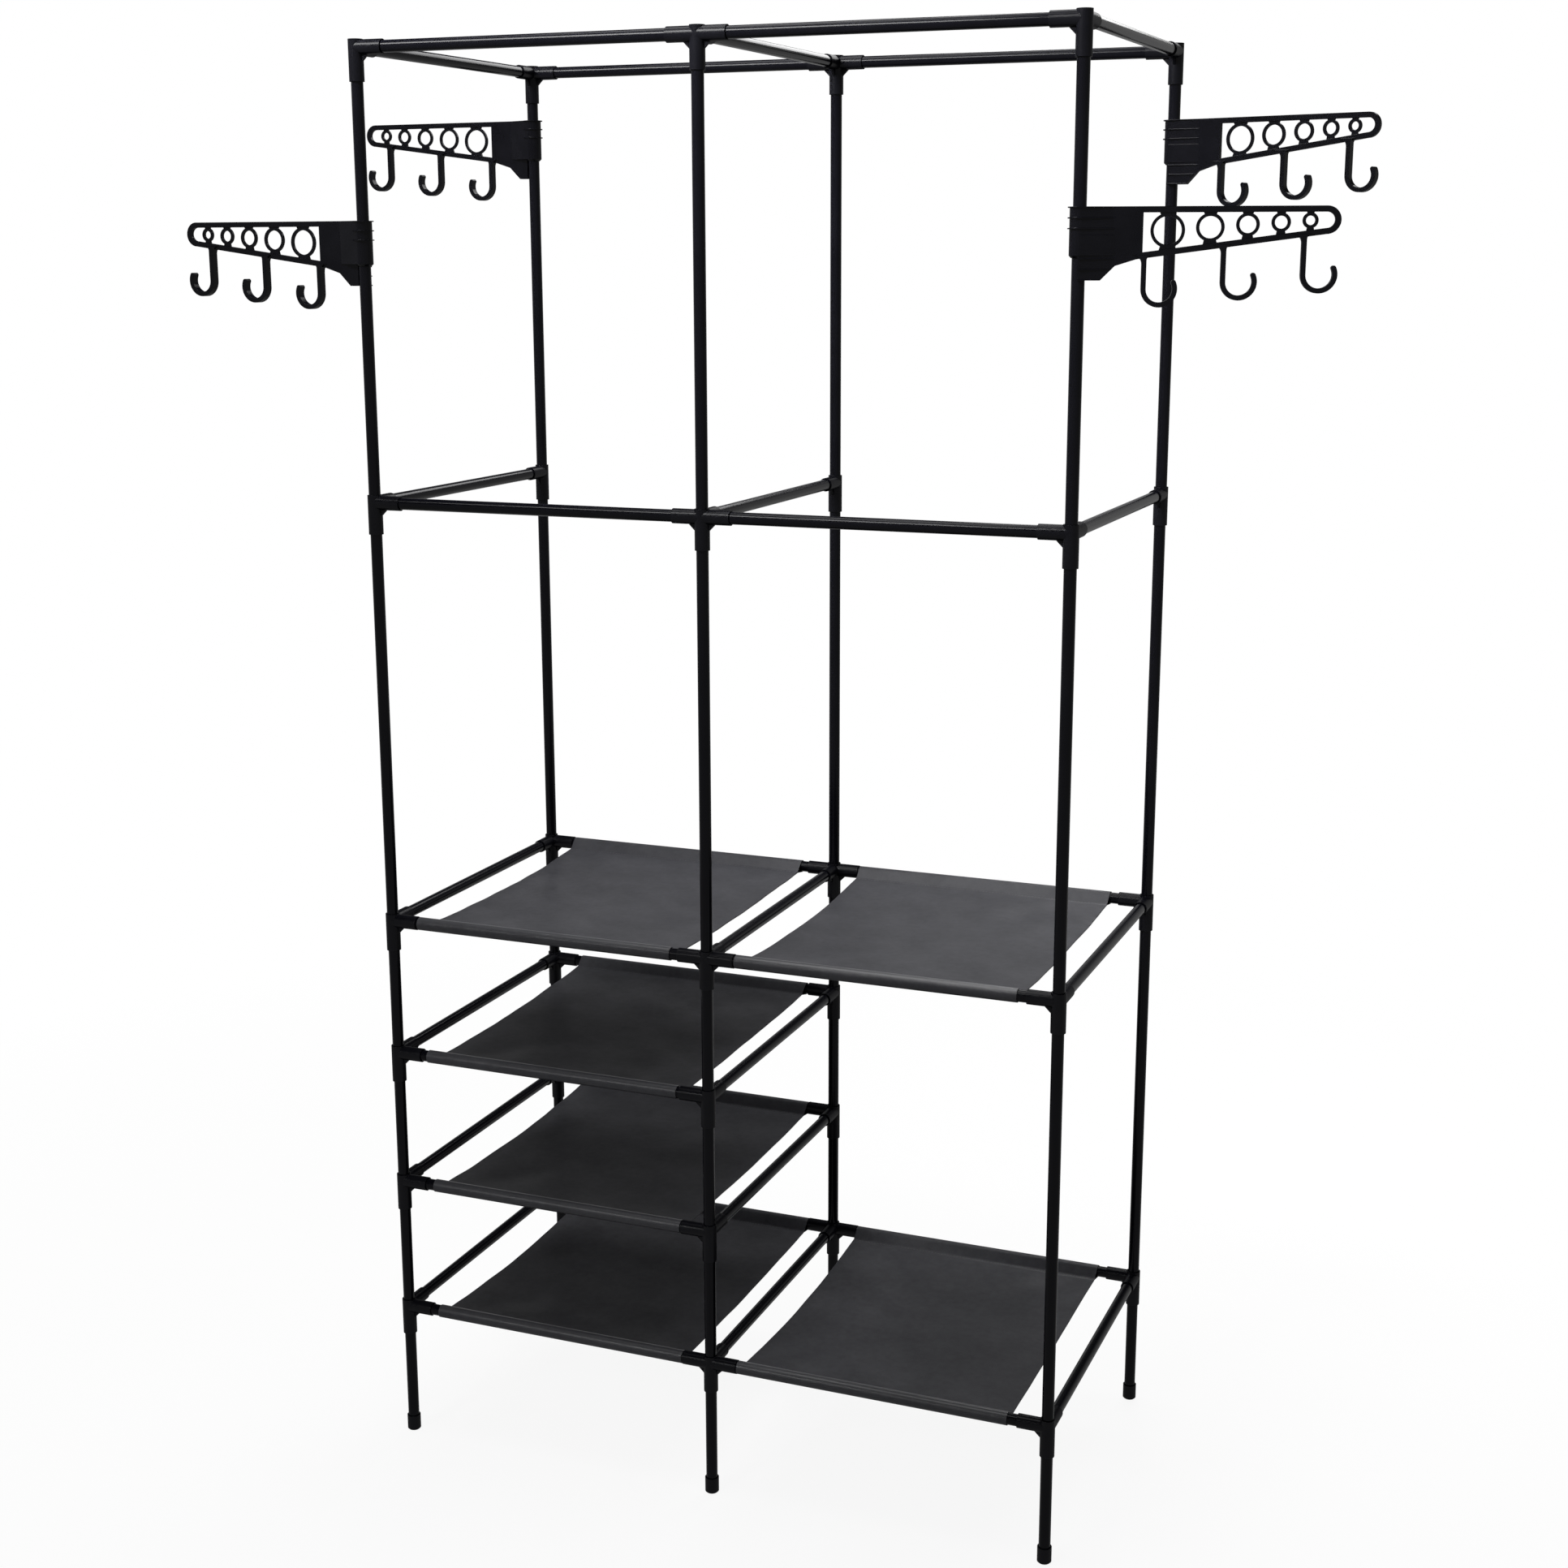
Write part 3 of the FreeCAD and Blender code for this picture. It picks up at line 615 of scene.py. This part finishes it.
def aim_camera():
    yaw, pitch, roll = (math.radians(a) for a in (CAMERA_YAW, CAMERA_PITCH, CAMERA_ROLL))
    level = Vector((-math.sin(yaw), math.cos(yaw), 0.0))
    across_view = Vector((math.cos(yaw), math.sin(yaw), 0.0))
    ahead = level * math.cos(pitch) + Vector((0.0, 0.0, math.sin(pitch)))
    upward = Vector((0.0, 0.0, math.cos(pitch))) - level * math.sin(pitch)
    right = across_view * math.cos(roll) + upward * math.sin(roll)
    up = upward * math.cos(roll) - across_view * math.sin(roll)
    data = bpy.data.cameras.new("photo_camera")
    data.sensor_width = SENSOR_MM
    data.lens = SENSOR_MM * FOCAL_PX / PHOTO_PX
    data.clip_start, data.clip_end = CLIP_NEAR, CLIP_FAR
    camera = bpy.data.objects.new("photo_camera", data)
    camera.matrix_world = Matrix((right, up, -ahead)).transposed().to_4x4()
    camera.location = CAMERA_AT
    bpy.context.collection.objects.link(camera)
    bpy.context.scene.camera = camera


def seen_directly(tree):
    """1 for the rays that show the background: straight from the camera, mirrored or passed through."""
    path = add(tree, "ShaderNodeLightPath").outputs
    straight = calc(tree, "MAXIMUM", path["Is Camera Ray"], path["Is Glossy Ray"])
    return calc(tree, "MAXIMUM", straight, path["Is Transmission Ray"])


def floor_material():
    made, tree = empty_material("pale_floor")
    place = object_place(tree)
    pale = tint_between(tree, noise_on(tree, place, scale=2.0, detail=2.0), *FLOOR_TINTS)
    direct = seen_directly(tree)
    thrown = spread(tree, direct, FLOOR_THROW, 1.0, start=0.0, end=1.0)
    scaled = add(tree, "ShaderNodeVectorMath", {0: pale, "Scale": thrown}, operation="SCALE")
    matt = add(tree, "ShaderNodeBsdfDiffuse", {"Color": scaled.outputs["Vector"]})
    white = add(tree, "ShaderNodeEmission", {"Color": WHITE, "Strength": 1.0})
    away = add(tree, "ShaderNodeVectorMath", {0: place}, operation="LENGTH").outputs["Value"]
    fade = spread(tree, away, FLOOR_WHITE, 1.0, FADE_FROM, FADE_TO)
    share = calc(tree, "MULTIPLY", direct, fade)
    inputs = {0: share, 1: matt.outputs["BSDF"], 2: white.outputs["Emission"]}
    close_material(tree, add(tree, "ShaderNodeMixShader", inputs).outputs["Shader"])
    return made


def set_stage():
    """A pale floor that keeps the shadow, in a room with white walls and a dim ceiling."""
    made = floor_material()
    shape = bmesh.new()
    bmesh.ops.create_grid(shape, x_segments=FLOOR_CELLS, y_segments=FLOOR_CELLS, size=FLOOR_HALF)
    floor = mesh_piece("floor", shape, made)
    world = bpy.data.worlds.new("room")
    bpy.context.scene.world = world
    world.use_nodes = True
    tree = world.node_tree
    tree.nodes.clear()
    toward = add(tree, "ShaderNodeTexCoord").outputs["Generated"]
    wall = spread(tree, part_of(tree, toward, "Z"), 1.0, CEILING, WALL_TOP, CEILING_FROM)
    level = spread(tree, seen_directly(tree), ROOM_LIGHT, wall, start=0.0, end=1.0)
    sky = add(tree, "ShaderNodeBackground", {"Color": WHITE, "Strength": level})
    out = tree.nodes.new("ShaderNodeOutputWorld")
    tree.links.new(sky.outputs["Background"], out.inputs["Surface"])


def light_room():
    for name, place, target, size, watts, beam in LAMPS:
        data = bpy.data.lights.new(name, "AREA")
        data.shape = "RECTANGLE"
        data.size, data.size_y = size
        data.energy = watts
        data.spread = math.radians(beam)
        lamp = bpy.data.objects.new(name, data)
        lamp.location = place
        lamp.rotation_euler = (Vector(target) - Vector(place)).to_track_quat("-Z", "Y").to_euler()
        bpy.context.collection.objects.link(lamp)


dress_frame()
build_shelves(shelf_cloth(), sewing_thread())
aim_camera()
set_stage()
light_room()
bpy.context.scene.view_settings.view_transform = "Standard"
